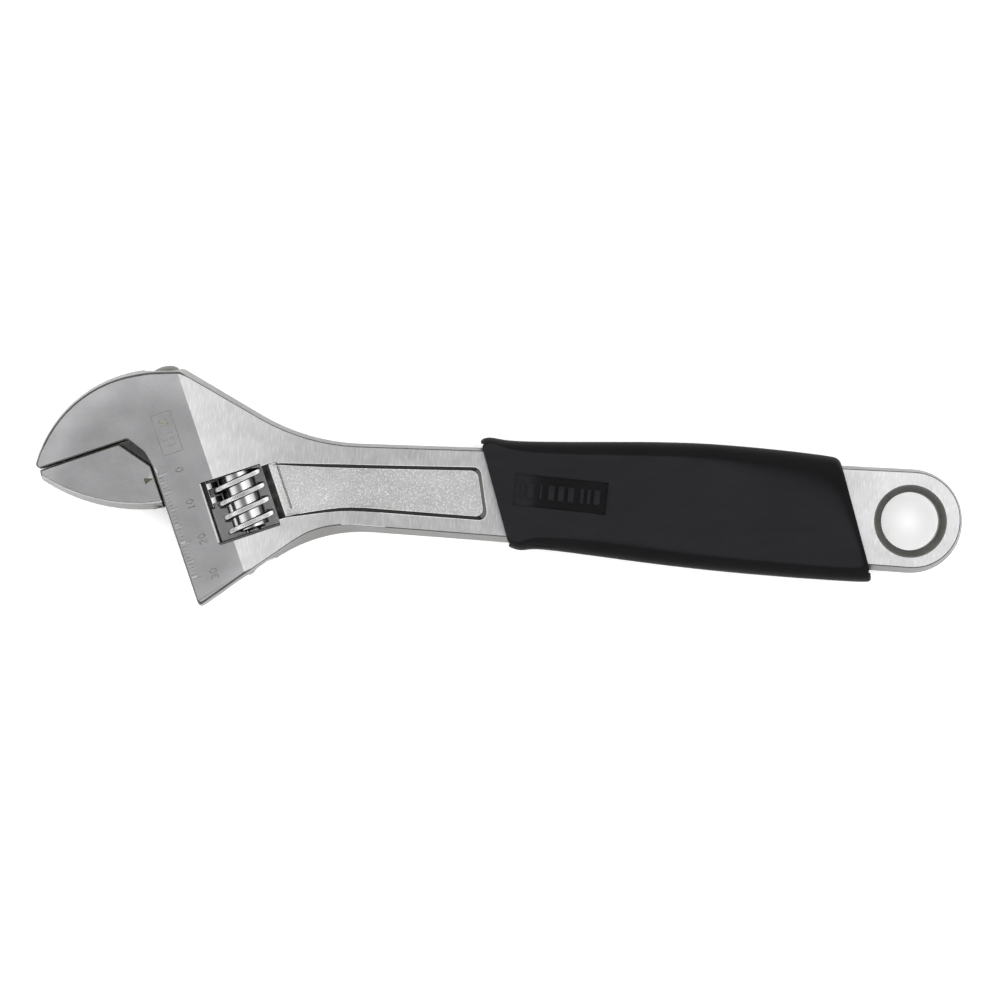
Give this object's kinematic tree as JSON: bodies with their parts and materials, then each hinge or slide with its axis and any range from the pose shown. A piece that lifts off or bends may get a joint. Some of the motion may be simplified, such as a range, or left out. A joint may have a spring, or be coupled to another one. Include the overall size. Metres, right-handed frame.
{
  "type": "adjustable wrench",
  "caption": "Adjustable wrench with an angled head, sliding lower jaw driven by a knurled worm, recessed shank panel, black rubber grip and a hang hole.",
  "frame": {"origin": "middle of the bounding box at its lowest point: the wrench lies on its back", "axes": "+X along the handle from the head to the tail, +Z out of the front face, +Y to the fixed jaw's side"},
  "size_m": [0.2556, 0.0656, 0.017],
  "materials": {
    "satin_steel": "satin chrome plating over drop-forged steel, ground flat on the head, blasted in the panels",
    "polished_steel": "polished",
    "black_rubber": "matte moulded rubber"
  },
  "bodies": {
    "handle": {"body": "satin_steel", "worm_pin": "polished_steel", "worm_spring": "polished_steel", "grip": "black_rubber"},
    "jaw": {"sliding_jaw": "satin_steel"},
    "adjuster": {"worm": "polished_steel"}
  },
  "joints": [
    {"name": "jaw_slide", "type": "slide", "parent": "handle", "child": "jaw", "axis": [0.3746, -0.9272, 0], "range_m": [-0.0004, 0.0295]},
    {"name": "worm_spin", "type": "hinge", "parent": "handle", "child": "adjuster", "pos_m": [-0.0699, -0.00344, 0.00851], "axis": [-0.3746, 0.9272, 0], "range_deg": [-40, 2660]}
  ],
  "couplings": [
    {"joint": "worm_spin", "follows": "jaw_slide", "rad_per_m": 1570.8}
  ]
}
